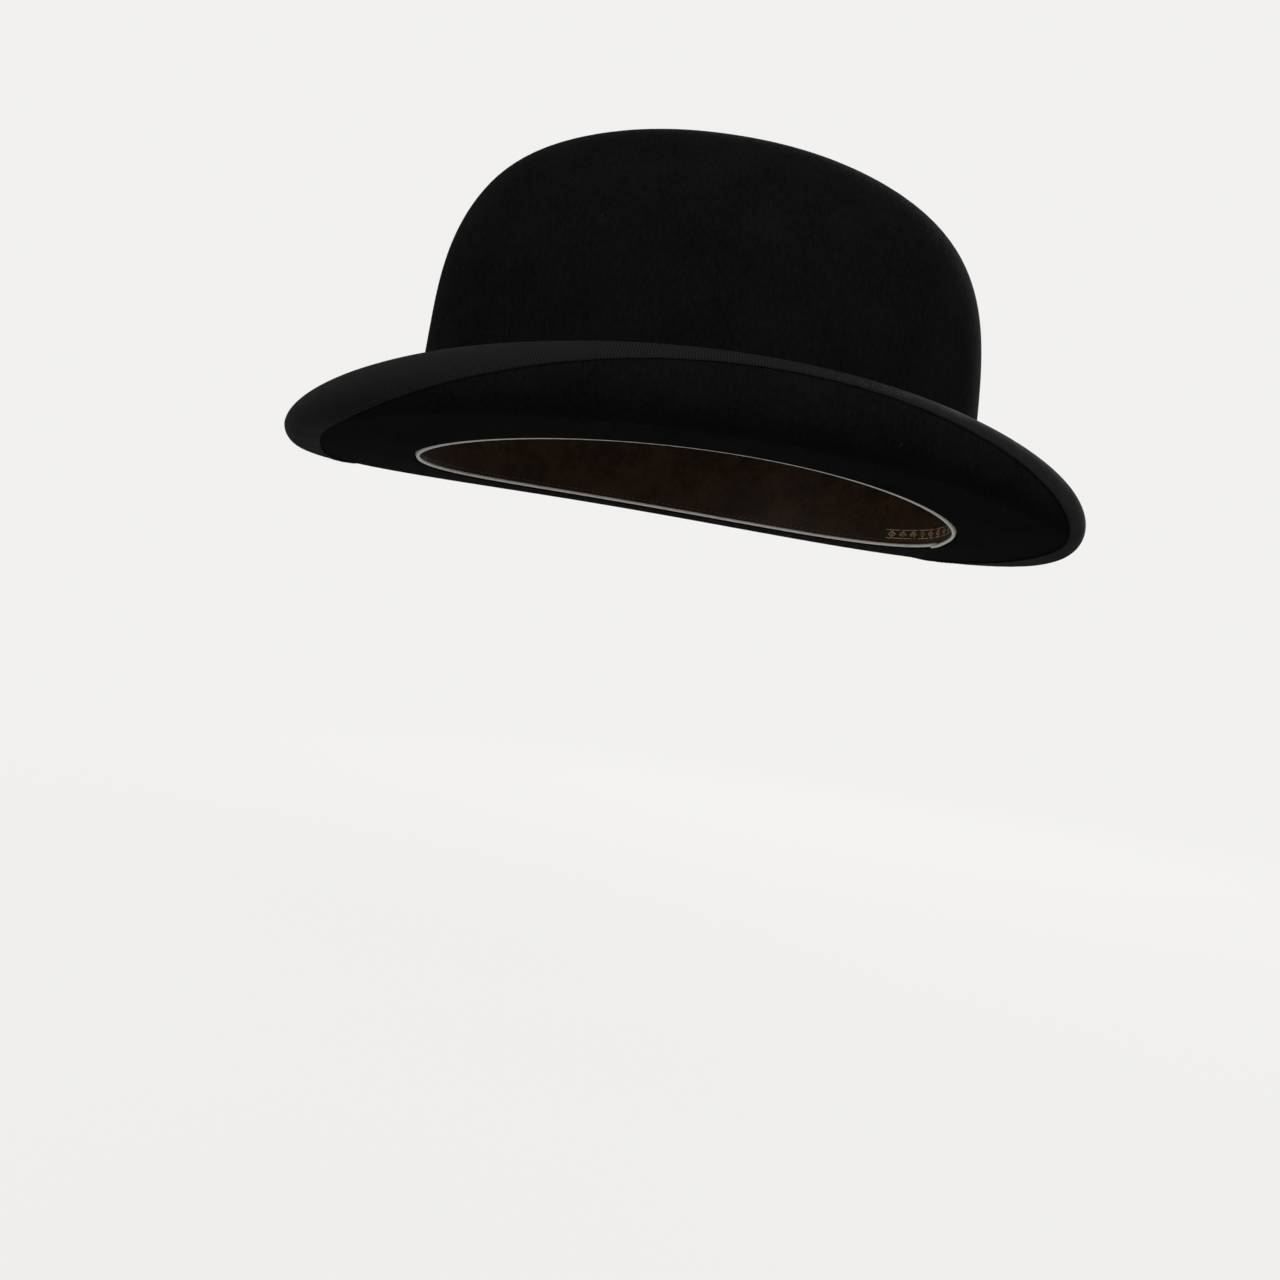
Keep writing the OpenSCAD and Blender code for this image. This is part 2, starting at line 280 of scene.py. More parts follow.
def strip(name, front, back, ring=True):
    """A ribbon, band or sheet with a real thickness, between two grids of points. Both of its long
    edges are rounded."""
    roundness = 0.4                 # how far an edge stands out, as a share of the thickness

    def edge(k, k2):
        middle = (front[:, k] + back[:, k]) / 2
        thick = np.linalg.norm(front[:, k] - back[:, k], axis=1, keepdims=True)
        return (middle + unit(front[:, k] - front[:, k2]) * thick * roundness)[:, None]

    rows = np.concatenate([front, edge(-1, -2), back[:, ::-1], edge(0, 1)], 1)
    over = lengths(front[0], False)
    places = np.concatenate([over, over[-1:], over[::-1], over[:1], over[:1]])
    return loft(name, rows, places, ring)


def dome(name, rows, inside_top, outside_top, sharp=50):
    """A hollow dome. Each row of points starts near the top of its inside, goes down and out round its
    rim, and ends near the top of its outside."""
    n, m = rows.shape[:2]
    i, j = np.meshgrid(np.arange(n), np.arange(m - 1), indexing="ij")
    i2 = (i + 1) % n
    faces = np.stack([i * m + j, i2 * m + j, i2 * m + j + 1, i * m + j + 1], -1)
    faces = faces.reshape(-1, 4).tolist()
    for k in range(n):
        k2 = (k + 1) % n
        faces.append([n * m, k2 * m, k * m])
        faces.append([n * m + 1, k * m + m - 1, k2 * m + m - 1])
    points = np.concatenate([rows.reshape(-1, 3), [inside_top, outside_top]])
    return finish_mesh(name, points, faces, sharp=sharp)


def tubes(name, lines, ups, radius, sides=6):
    """Round threads of one size along lines[k, i], each with tapered, closed ends."""
    k, n = lines.shape[:2]
    tangent = unit(np.gradient(lines, axis=1))
    side = unit(np.cross(tangent, ups))
    up = np.cross(side, tangent)
    a = TURN * np.arange(sides) / sides
    taper = 0.45
    thick = np.full(n, radius)
    thick[[0, -1]] *= taper
    ring = side[:, :, None] * np.cos(a)[:, None] + up[:, :, None] * np.sin(a)[:, None]
    points = lines[:, :, None] + thick[:, None, None] * ring
    index = np.arange(k * n * sides).reshape(k, n, sides)
    turned = np.roll(index, -1, axis=2)
    faces = np.stack([index[:, :-1], index[:, 1:], turned[:, 1:], turned[:, :-1]], -1)
    along = np.array([lengths(line, False) for line in lines])[:, :, None]
    round_it = np.arange(sides)[None, None] * radius * TURN / sides
    u = np.stack(np.broadcast_arrays(along[:, :-1], along[:, 1:], along[:, 1:], along[:, :-1]), -1)
    v0, v1 = round_it, round_it + radius * TURN / sides
    v = np.stack([v0, v0, v1, v1], -1)
    u, v = np.broadcast_arrays(np.repeat(u, sides, axis=2), v)
    corners = np.stack([u, v], -1)
    caps = [c.tolist() for c in index[:, 0, ::-1]] + [c.tolist() for c in index[:, -1]]
    return finish_mesh(name, points, faces.reshape(-1, 4).tolist() + caps, corners, sharp=70)


def stitches(name, starts, ends, ups, radius, arch, sink):
    """One short arched thread from each start to its end. Both of its ends dip into the cloth."""
    stations = 7
    flatness = 0.6                  # below 1, so that the thread lies flat in its middle
    k = np.linspace(0, 1, stations)[None, :, None]
    lines = mix(starts[:, None], ends[:, None], k)
    lines = lines + ups[:, None] * ((arch + sink) * np.sin(np.pi * k) ** flatness - sink)
    return tubes(name, lines, np.repeat(ups[:, None], stations, axis=1), radius)


def ripple(t, waves):
    """A smooth uneven wave round the hat, about -1 to 1. waves lists how many of each go round."""
    total = sum(np.sin(n * t + 1.7 * n + 0.3 * n * n) for n in waves)
    return total / len(waves)


# ---- materials ----

class Paint:
    """A node material round one Principled shader, with a short call for each kind of node. fixed gives
    the shader's sockets their plain values, and set() links a pattern over one of them."""

    def __init__(self, name, **fixed):
        self.material = bpy.data.materials.new(name)
        self.material.use_nodes = True
        self.tree = self.material.node_tree
        self.shader = self.tree.nodes["Principled BSDF"]
        for socket, value in fixed.items():
            self.shader.inputs[socket.replace("_", " ")].default_value = value
        self.place = self.add("ShaderNodeTexCoord").outputs["Object"]
        cloth = self.add("ShaderNodeUVMap")
        cloth.uv_map = "cloth"
        self.cloth = cloth.outputs["UV"]
        self.normal = None

    def add(self, kind, *inputs, **settings):
        node = self.tree.nodes.new(kind)
        for setting, value in settings.items():
            setattr(node, setting, value)
        for socket, value in inputs:
            if isinstance(value, bpy.types.NodeSocket):
                self.tree.links.new(value, node.inputs[socket])
            else:
                node.inputs[socket].default_value = value
        return node

    def math(self, operation, *values):
        return self.add("ShaderNodeMath", *enumerate(values), operation=operation).outputs[0]

    def along(self):
        """The two coordinates of the cloth: along it and across it."""
        split = self.add("ShaderNodeSeparateXYZ", (0, self.cloth))
        return split.outputs[0], split.outputs[1]

    def wave(self, value, length):
        """Waves from 0 to 1, one for every length metres of value."""
        sine = self.math("SINE", self.math("MULTIPLY", value, TURN / length))
        return self.math("MULTIPLY_ADD", sine, 0.5, 0.5)

    def noise(self, size, detail=3.0, rough=0.55, vector=None, stretch=None):
        """Noise from 0 to 1 with patches about size metres wide, or stretched along some axes."""
        vector = vector or self.place
        if stretch:
            scaled = self.add("ShaderNodeVectorMath", (0, vector), (1, stretch), operation="MULTIPLY")
            vector = scaled.outputs[0]
        node = self.add("ShaderNodeTexNoise", ("Vector", vector), ("Scale", 1 / size), ("Detail", detail),
                        ("Roughness", rough))
        return node.outputs["Fac"]

    def specks(self, spacing, size, share):
        """1 at small round specks, at a share of places spacing metres apart, and 0 elsewhere."""
        cells = self.add("ShaderNodeTexVoronoi", ("Vector", self.place), ("Scale", 1 / spacing))
        pick = self.add("ShaderNodeSeparateColor", (0, cells.outputs["Color"]))
        here = self.math("LESS_THAN", pick.outputs[0], share)
        big = self.math("MULTIPLY", pick.outputs[1], size / spacing)
        return self.math("MULTIPLY", here, self.math("LESS_THAN", cells.outputs["Distance"], big))

    def ramp(self, value, low, high, a=0.0, b=1.0):
        """Value from low to high becomes a to b, and stays there past them."""
        node = self.add("ShaderNodeMapRange", ("Value", value), ("From Min", low), ("From Max", high),
                        ("To Min", a), ("To Max", b))
        return node.outputs[0]

    def blend(self, share, a, b):
        node = self.add("ShaderNodeMix", data_type="RGBA")
        sockets = [s for s in node.inputs if s.enabled]
        for socket, value in zip(sockets, (share, a, b)):
            if isinstance(value, bpy.types.NodeSocket):
                self.tree.links.new(value, socket)
            else:
                socket.default_value = value if isinstance(value, float) else (*value, 1.0)
        return next(s for s in node.outputs if s.enabled)

    def bump(self, height, distance, strength=1.0):
        """Adds relief that is distance metres deep where height goes from 0 to 1."""
        inputs = [("Height", height), ("Distance", distance), ("Strength", strength)]
        if self.normal:
            inputs.append(("Normal", self.normal))
        self.normal = self.add("ShaderNodeBump", *inputs).outputs[0]
        self.tree.links.new(self.normal, self.shader.inputs["Normal"])

    def set(self, socket, value):
        self.tree.links.new(value, self.shader.inputs[socket])

    def apart(self, a, b):
        """How far a and b are from each other."""
        return self.math("ABSOLUTE", self.math("SUBTRACT", a, b))

    def line(self, value, middle, half):
        """1 where value is within half of middle."""
        return self.math("LESS_THAN", self.apart(value, middle), half)


def felt_paint():
    """Black fur felt: a short brushed nap with loose fibres, faint mottling and some lint."""
    p = Paint("felt", Roughness=0.85, Specular_IOR_Level=0.006, Sheen_Weight=0.003, Sheen_Roughness=0.45)
    p.shader.inputs["Sheen Tint"].default_value = (0.7, 0.7, 0.72, 1)
    cloud = p.noise(28 * MM, 4)
    nap = p.noise(1.1 * MM, 5, 0.65, stretch=(1, 1, 0.45))
    fibres = p.noise(0.35 * MM, 3, 0.7, stretch=(0.35, 1, 1))
    mottled = p.math("MULTIPLY", p.ramp(cloud, 0.3, 0.7), 0.4)
    shade = p.math("MULTIPLY_ADD", p.ramp(nap, 0.3, 0.75), 0.6, mottled)
    base = p.blend(shade, (0.0022, 0.0022, 0.0025), (0.0072, 0.0072, 0.008))
    lint = p.math("MAXIMUM", p.specks(13 * MM, 0.42 * MM, 0.3), p.specks(6 * MM, 0.26 * MM, 0.22))
    p.set("Base Color", p.blend(p.math("MULTIPLY", lint, 0.5), base, (0.09, 0.09, 0.085)))
    p.set("Roughness", p.ramp(nap, 0.3, 0.7, 0.95, 0.75))
    p.bump(cloud, 0.5 * MM, 0.35)
    p.bump(nap, 0.3 * MM, 0.5)
    p.bump(fibres, 0.12 * MM, 0.5)
    return p.material


def ribbon_paint(name, pitch, dark, light):
    """Grosgrain: fine ribs across the ribbon, with threads along it."""
    p = Paint(name, Roughness=0.55, Specular_IOR_Level=0.035, Sheen_Weight=0.004, Sheen_Roughness=0.35)
    p.shader.inputs["Sheen Tint"].default_value = (0.8, 0.8, 0.82, 1)
    along, over = p.along()
    ribs = p.wave(along, pitch)
    threads = p.wave(over, 0.32 * MM)
    uneven = p.noise(7 * MM, 3, vector=p.cloth, stretch=(1, 0.35, 1))
    fuzz = p.noise(0.5 * MM, 3, 0.7)
    weave = p.math("MULTIPLY_ADD", threads, 0.18, p.math("MULTIPLY", ribs, 0.62))
    shade = p.math("MULTIPLY_ADD", uneven, 0.35, weave)
    p.set("Base Color", p.blend(shade, dark, light))
    p.set("Roughness", p.ramp(uneven, 0.3, 0.7, 0.62, 0.8))
    p.bump(uneven, 0.25 * MM, 0.4)
    p.bump(ribs, 0.16 * MM, 0.8)
    p.bump(threads, 0.04 * MM, 0.5)
    p.bump(fuzz, 0.06 * MM, 0.4)
    return p.material


def thread_paint(name, dark, light, gloss):
    """Two plies twisted together."""
    p = Paint(name, Roughness=0.5, Specular_IOR_Level=gloss)
    along, over = p.along()
    slant = 2.0                     # how far the plies run round the thread for each step along it
    twist = p.wave(p.math("MULTIPLY_ADD", along, slant, over), 0.57 * MM)
    p.set("Base Color", p.blend(twist, dark, light))
    p.bump(twist, 0.08 * MM, 0.8)
    return p.material


def gilt_border(p, from_seam, over):
    """1 on a row of lozenges, each round a dot, between two rules on both sides of the seam."""
    step, repeats = 6.4 * MM, 5
    middle_up = 3.6 * MM            # of the row, from the leather's lower edge
    slimness = 0.55                 # a lozenge's height as a share of its length
    lozenge_r, lozenge_half = 1.05 * MM, 0.24 * MM
    dot_r = 0.45 * MM
    rule_out, rule_half = 1.65 * MM, 0.16 * MM
    from_middle = p.apart(p.math("MODULO", from_seam, step), step / 2)
    height = p.apart(over, middle_up)
    lozenge = p.line(p.math("MULTIPLY_ADD", from_middle, slimness, height), lozenge_r, lozenge_half)
    dot = p.math("LESS_THAN", p.math("ADD", from_middle, height), dot_r)
    rules = p.line(height, rule_out, rule_half)
    border = p.math("MAXIMUM", p.math("MAXIMUM", lozenge, dot), rules)
    return p.math("MULTIPLY", border, p.math("LESS_THAN", from_seam, repeats * step))


def leather_paint(girth):
    """Thin waxed brown leather: mottled and grained, with painted shade in patches along its lower edge
    by the reed, and a gilt border.
    girth is the length round the hat from one side of its seam to the other."""
    p = Paint("leather", Roughness=0.42, Specular_IOR_Level=0.2, Coat_Weight=0.03, Coat_Roughness=0.3)
    along, over = p.along()
    stain = p.noise(16 * MM, 5, 0.6)
    mottle = p.noise(3.2 * MM, 5, 0.65)
    cells = p.add("ShaderNodeTexVoronoi", ("Vector", p.place), ("Scale", 1 / (1.1 * MM)),
                  feature="DISTANCE_TO_EDGE").outputs["Distance"]
    grain = p.ramp(cells, 0.0, 0.25)
    fine = p.math("MULTIPLY", p.ramp(mottle, 0.35, 0.7), 0.45)
    shade = p.math("MULTIPLY_ADD", p.ramp(stain, 0.35, 0.65), 0.55, fine)
    hide = p.blend(shade, (0.009, 0.0042, 0.0018), (0.064, 0.029, 0.0115))
    hide = p.blend(p.math("MULTIPLY", p.math("SUBTRACT", 1.0, grain), 0.5), hide, (0.01, 0.005, 0.0025))
    # Painted shade: the lowest 12 mm of the leather, in the corner by the reed, is darkened in mottled
    # patches.
    painted_edge_shade = p.math("MULTIPLY", p.ramp(over, 12 * MM, 0.0), p.ramp(mottle, 0.3, 0.7))
    hide = p.blend(p.math("MULTIPLY", painted_edge_shade, 0.5), hide, (0.02, 0.012, 0.008))
    from_seam = p.math("MINIMUM", along, p.math("SUBTRACT", girth, along))
    border = gilt_border(p, from_seam, over)
    worn = p.ramp(p.noise(2.2 * MM, 4, 0.7), 0.4, 0.52)
    gilt = p.math("MULTIPLY", border, worn)
    p.set("Base Color", p.blend(gilt, hide, (0.72, 0.52, 0.33)))
    p.set("Metallic", p.math("MULTIPLY", gilt, 0.6))
    p.set("Roughness", p.ramp(mottle, 0.3, 0.7, 0.36, 0.52))
    p.bump(mottle, 0.25 * MM, 0.35)
    p.bump(grain, 0.1 * MM, 0.5)
    p.bump(p.math("SUBTRACT", 1.0, border), 0.1 * MM, 0.5)
    return p.material


def tape_paint():
    """Glazed white cotton tape, finely woven and a little soiled."""
    p = Paint("tape", Roughness=0.42, Specular_IOR_Level=0.5, Sheen_Weight=0.1, Sheen_Roughness=0.4)
    along, over = p.along()
    pitch = 0.42 * MM
    warp = p.math("SINE", p.math("MULTIPLY", along, TURN / pitch))
    weft = p.math("SINE", p.math("MULTIPLY", over, TURN / pitch))
    weave = p.math("MULTIPLY_ADD", p.math("MULTIPLY", warp, weft), 0.5, 0.5)
    soil = p.ramp(p.noise(5 * MM, 4, 0.6), 0.45, 0.75)
    clean = p.blend(weave, (0.7, 0.68, 0.63), (0.86, 0.85, 0.81))
    p.set("Base Color", p.blend(p.math("MULTIPLY", soil, 0.45), clean, (0.42, 0.38, 0.31)))
    p.bump(weave, 0.05 * MM, 0.7)
    p.bump(p.noise(2.5 * MM, 3), 0.12 * MM, 0.4)
    return p.material


def reed_paint():
    """The reed's own pale, lightly streaked body."""
    p = Paint("reed", Roughness=0.35, Specular_IOR_Level=0.5)
    streak = p.noise(0.8 * MM, 3, stretch=(1, 1, 4))
    p.set("Base Color", p.blend(streak, (0.6, 0.58, 0.5), (0.75, 0.74, 0.68)))
    p.bump(streak, 0.05 * MM, 0.5)
    return p.material


def satin_paint():
    """Ivory satin: long floats that shine, and soft age stains."""
    p = Paint("satin", Roughness=0.36, Specular_IOR_Level=0.5, Sheen_Weight=0.25, Sheen_Roughness=0.3)
    p.shader.inputs["Sheen Tint"].default_value = (1, 0.97, 0.9, 1)
    floats = p.noise(0.7 * MM, 4, 0.6, stretch=(1, 1, 0.12))
    cloud = p.noise(22 * MM, 4, 0.6)
    cream = p.blend(p.ramp(floats, 0.3, 0.7), (0.68, 0.63, 0.53), (0.84, 0.8, 0.71))
    p.set("Base Color", p.blend(p.ramp(cloud, 0.5, 0.85, 0.0, 0.4), cream, (0.5, 0.41, 0.27)))
    p.set("Roughness", p.ramp(floats, 0.3, 0.7, 0.3, 0.46))
    p.bump(floats, 0.06 * MM, 0.6)
    return p.material


def leather_girth():
    """How long the leather is: the length of its lower edge round the hat."""
    t = round_from(BACK, SEAM_HALF_GAP, SWEAT_STATIONS)
    return lengths(leather_point(t[:, 0], LEATHER_Z, SWEAT_T), False)[-1]


PAINTS = {
    "felt": felt_paint(),
    "binding": ribbon_paint("binding", 0.9 * MM, (0.003, 0.003, 0.003), (0.013, 0.013, 0.0127)),
    "trim": ribbon_paint("trim", 0.95 * MM, (0.0035, 0.0035, 0.0037), (0.0145, 0.0145, 0.015)),
    "thread": thread_paint("thread", (0.005, 0.005, 0.005), (0.017, 0.017, 0.017), 0.08),
    "leather": leather_paint(leather_girth()),
    "leather_thread": thread_paint("leather_thread", (0.04, 0.024, 0.013), (0.13, 0.085, 0.05), 0.4),
    "tape": tape_paint(),
    "reed": reed_paint(),
    "satin": satin_paint(),
}


def place(piece, paint, slot, *nodes):
    """Gives a piece its material, and puts it in the place of its CAD nodes."""
    piece.data.materials.append(PAINTS[paint])
    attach(piece, "root")
    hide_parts(*nodes)
    return piece


# ---- felt ----

def sin_spaced(steps):
    """From 0 up to just under 1, closer together near 1."""
    return np.sin(BACK * np.arange(steps) / steps)


def crown_sway(t, z):
    """How far the blocked felt of the crown stands off its true shape: a fraction of a millimetre."""
    size = 0.12 * MM
    band_top, top_gap = 34 * MM, 2 * MM               # no sway below the first, nor this near the top
    grow, fade = 20 * MM, 25 * MM
    share = np.clip((z - band_top) / grow, 0, 1) * np.clip((CROWN_H - top_gap - z) / fade, 0, 1)
    wave = np.sin(3 * t + 60 * z) + np.sin(5 * t - 45 * z + 1) + np.sin(8 * t + 90 * z + 2)
    return size * share * wave


def make_felt():
    """Crown and brim in one shell: down the inside, along under the brim, back over it and up outside."""
    under_fillet = 4                # places on the brim's top that the fillet covers
    t = angles(320)
    inner = mix(rise(t) + FELT_T, CROWN_H - FELT_T, sin_spaced(26)[None])
    outer = mix(rise(t) + FELT_T + FILLET_R, CROWN_H, sin_spaced(52)[None])
    edge_s = blend(t, BRIM_W) - WRAP_R
    places = edge_s * across(44)[None]
    round_edge = np.linspace(-BACK, BACK, 9)[None, 1:-1]
    opening = np.radians(np.arange(200, 270, 14))[None]
    fillet = np.radians(np.arange(262, 184, -9))[None]
    rows = np.concatenate([
        crown_point(t, inner, FELT_T)[:, ::-1],
        beside(t, FELT_T * np.cos(opening), FELT_T + FELT_T * np.sin(opening)),
        brim_point(t, places, 0),
        brim_point(t, edge_s + FELT_T / 2 * np.cos(round_edge), FELT_T / 2 * (1 + np.sin(round_edge))),
        brim_point(t, places[:, :under_fillet - 1:-1], FELT_T),
        beside(t, FILLET_R * (1 + np.cos(fillet)), FELT_T + FILLET_R * (1 + np.sin(fillet))),
        crown_point(t, outer, -crown_sway(t, outer)),
    ], 1)
    felt = dome("felt_shell", rows, (0, 0, CROWN_H - FELT_T), (0, 0, CROWN_H), sharp=80)
    return place(felt, "felt", "felt", "felt_body")


# ---- ribbon trim ----

def selvedge(depth, width):
    """How far a ribbon's woven edges stand proud of it. depth is the distance across it."""
    proud, middle_in, half = 0.1 * MM, 0.35 * MM, 0.3 * MM
    from_edge = np.minimum(depth, width - depth)
    return proud * np.exp(-((from_edge - middle_in) / half) ** 2)


def make_binding():
    """The ribbon folded over the brim's edge, a little puckered along both inner edges."""
    t = angles(560)
    face_w = BINDING_W - WRAP_R
    over = face_w * across(14, edge=0.12)
    start = blend(t, BRIM_W) - BINDING_W
    depth, reach, ease = 0.1 * MM, 3 * MM, 0.06 * MM  # of the puckers
    pucker = ripple(t, (61, 83, 109, 137)) * np.exp(-over / reach)[None] * depth + ease
    lift = SKIN_GAP + BINDING_T + selvedge(over, 2 * BINDING_W)[None] + np.maximum(pucker, 0)
    gap = SKIN_GAP + np.maximum(pucker, 0)
    s = start + over[None]
    arc = np.linspace(BACK, -BACK, 11)[None, 1:-1]
    edge_s = blend(t, BRIM_W) - WRAP_R

    def skin(high, low, r):
        return np.concatenate([
            brim_point(t, s, FELT_T + high),
            brim_point(t, edge_s + r * np.cos(arc), FELT_T / 2 + r * np.sin(arc)),
            brim_point(t, s[:, ::-1], -low[:, ::-1]),
        ], 1)

    binding = strip("edge_binding", skin(lift, lift, WRAP_R), skin(gap, gap, WRAP_R - BINDING_T))
    return place(binding, "binding", "ribbon", "brim_binding")


def make_binding_stitches():
    """Two rows of stitches, one on each face of the brim."""
    count, length = 290, 2.1 * MM
    radius, arch, sink = 0.14 * MM, 0.1 * MM, 0.22 * MM
    shift = 0.15 / count            # an angle that puts the two rows out of step
    sets = []
    for h, side in ((-SKIN_GAP - BINDING_T, -1), (FELT_T + SKIN_GAP + BINDING_T, 1)):
        t = angles(count)[:, 0] + side * shift
        s = blend(t, BRIM_W) - BINDING_W + STITCH_IN
        middle = brim_point(t, s, h)
        ahead = brim_point(t + STEP_T, s, h) - middle
        up = unit(brim_point(t, s, h + side * MM) - middle)
        half = unit(ahead) * length / 2
        sets.append((middle - half, middle + half, up))
    starts, ends, ups = (np.concatenate(kind) for kind in zip(*sets))
    sewn = stitches("binding_stitches", starts, ends, ups, radius, arch, sink)
    return place(sewn, "thread", "thread", "binding_thread")


def make_band():
    """The ribbon round the crown, with slightly uneven edges."""
    t = angles(400)
    over = across(14, edge=0.1)
    uneven = 0.12 * MM
    z = rise(t) + BAND_Z + over[None] * BAND_H + uneven * ripple(t, (7, 11, 17))
    ease = uneven * (1 + ripple(t, (23, 31, 41))) * over[None] ** 2
    back = crown_point(t, z, -BAND_LIFT - ease)
    front = crown_point(t, z, -BAND_LIFT - BAND_T - ease - selvedge(over * BAND_H, BAND_H)[None])
    return place(strip("crown_band", front, back), "trim", "ribbon", "hat_band")


def loop_depth(y):
    """Depth of the bow's loops: full in the middle of each loop, and closed at its end."""
    k = np.clip(np.abs(y) / BOW_HALF, 0, 1)
    return mix(WAIST, BOW_DEPTH, np.sin(np.pi * k) ** 2) * np.sqrt(1 - k ** 8)


def make_loops():
    """One ribbon that goes out, folds round at each end and comes back, drawn in under the knot."""
    round_it = angles(260)
    over = across(18, edge=0.1)[None]
    y = (BOW_HALF - BOW_T / 2) * np.cos(round_it)
    outer = np.sin(round_it) >= 0
    depth = np.where(outer, np.maximum(BOW_T, loop_depth(y) - BOW_T / 2), BOW_T / 2)
    line = np.concatenate([y, depth], 1)
    ahead = unit(np.roll(line, -1, 0) - np.roll(line, 1, 0))
    gather_reach = 7 * MM           # how far from the knot the gathers run out
    narrowing = 0.14                # the share of its width that the ribbon loses under the knot
    pleat_depth, pleat_waves = 0.32 * MM, 2.5
    crown_depth = 0.35 * MM
    from_knot = np.maximum(0, np.abs(y) - KNOT_HALF * 0.6)
    gather = np.exp(-from_knot / gather_reach)
    pleats = pleat_depth * gather * np.cos(TURN * pleat_waves * (over - 0.5)) * outer
    along_loop = np.sin(np.pi * np.clip(np.abs(y) / BOW_HALF, 0, 1))
    crowned = crown_depth * (1 - (2 * over - 1) ** 2) * along_loop * outer
    height = BOW_H * (1 - narrowing * gather)
    z = BOW_Z + BOW_H / 2 + (over - 0.5) * height

    def skin(side, edge):
        along = line[:, :1] + side * BOW_T / 2 * ahead[:, 1:]
        lift = LOOPS_LIFT + line[:, 1:] - side * BOW_T / 2 * ahead[:, :1] + pleats + crowned + edge
        return on_left(along, lift, z)

    proud = selvedge(over * BOW_H, BOW_H)
    loops = strip("bow_loop_ribbon", skin(1, proud * outer), skin(-1, 0))
    return place(loops, "trim", "ribbon", "bow_loops")


def make_tails():
    """The flat ribbon behind the loops, with both ends cut on a slant."""
    slant = 4 * MM
    inset = 0.3 * MM                # from each edge of the loops to the edge of this ribbon
    curl_depth = 0.5 * MM
    flat_share = 0.8                # of the ribbon's half, before it starts to curl
    over = across(16, edge=0.1)[None]
    along = np.linspace(-1, 1, 120)[:, None]
    y = along * mix(TAILS_HALF - slant, TAILS_HALF, over)
    z = BOW_Z + inset + (BOW_H - 2 * inset) * over
    curled = np.clip(np.abs(along) - flat_share, 0, 1) / (1 - flat_share)
    curl = curl_depth * curled * mix(0.3, 1.0, over)
    back = on_left(y, TAILS_LIFT + curl, z)
    front = on_left(y, TAILS_LIFT + BOW_T + curl + selvedge(over * BOW_H, BOW_H), z)
    return place(strip("bow_tail_ribbon", front, back, ring=False), "trim", "ribbon", "bow_tails")


def make_knot():
    """The ribbon wrapped round the middle of the bow, in three soft pleats."""
    thick = 0.4 * MM
    squareness = 0.42               # 1 would make the knot's section an ellipse
    pleat_depth, pinched = 0.35 * MM, 0.1
    over = across(21, edge=0.1)[None]
    round_it = angles(120)
    low = Vector((KNOT_LOW.x - HALF_W, 0, KNOT_LOW.z))
    high = Vector((KNOT_HIGH.x - HALF_W, 0, KNOT_HIGH.z))
    centre = (low + high) / 2
    half = (high - low) / 2
    outer = np.clip(np.cos(round_it) * 3, 0, 1)
    pleats = pleat_depth * (np.abs(np.cos(1.5 * np.pi * (2 * over - 1))) - 0.6) * outer
    pinch = 1 - pinched * outer * np.exp(-(np.sin(round_it) / 0.7) ** 2)
    y = (2 * over - 1) * KNOT_HALF * pinch

    def squared(value):
        return np.sign(value) * np.abs(value) ** squareness

    def skin(inset, more):
        return on_left(y, centre.x + (half.x - inset) * squared(np.cos(round_it)) + more,
                       centre.z + (half.z - inset) * squared(np.sin(round_it)))

    knot = strip("bow_knot_ribbon", skin(0, pleats), skin(thick, pleats))
    return place(knot, "trim", "ribbon", "bow_knot")


# ---- sweatband ----

def leather_wave(t, dz):
    """How far the leather has eased away from the crown: most along its free top edge."""
    share = np.clip((dz - LEATHER_Z) / SWEAT_H, 0, 1)
    long_waves = 0.55 * MM * share ** 3 * (1 + ripple(t, (5, 9, 14)))
    short_waves = 0.12 * MM * share * (1 + ripple(t, (37, 52)))
    return long_waves + short_waves


def make_sweatband():
    """The leather, with its two ends at the back seam, thinner towards its top edge."""
    edge_share, skived_h = 0.55, 6 * MM               # how thin it gets there, and over what height
    t = round_from(BACK, SEAM_HALF_GAP, SWEAT_STATIONS)
    dz = LEATHER_Z + SWEAT_H * across(26, edge=0.03)[None]
    wave = leather_wave(t, dz)
    thick = SWEAT_T * np.clip(edge_share + (LEATHER_Z + SWEAT_H - dz) / skived_h, 0, 1)
    front = leather_point(t, dz, wave + thick)
    band = strip("leather_sweatband", front, leather_point(t, dz, wave), ring=False)
    return place(band, "leather", "leather", "sweatband")


def make_sweatband_stitches():
    """The row that holds the leather to the reed's tape."""
    count, length = 235, 1.7 * MM
    radius, arch, sink = 0.16 * MM, 0.2 * MM, 0.2 * MM
    t = round_from(BACK, np.radians(0.8), count)[:, 0]
    dz = LEATHER_Z + SWEAT_STITCH_UP
    depth = SWEAT_T + leather_wave(t, dz)
    middle = leather_point(t, dz, depth)
    ahead = unit(leather_point(t + STEP_T, dz, depth) - middle) * length / 2
    up = unit(leather_point(t, dz, depth + MM) - middle)
    sewn = stitches("sweatband_stitches", middle - ahead, middle + ahead, up, radius, arch, sink)
    return place(sewn, "leather_thread", "leather_thread", "sweatband_thread")


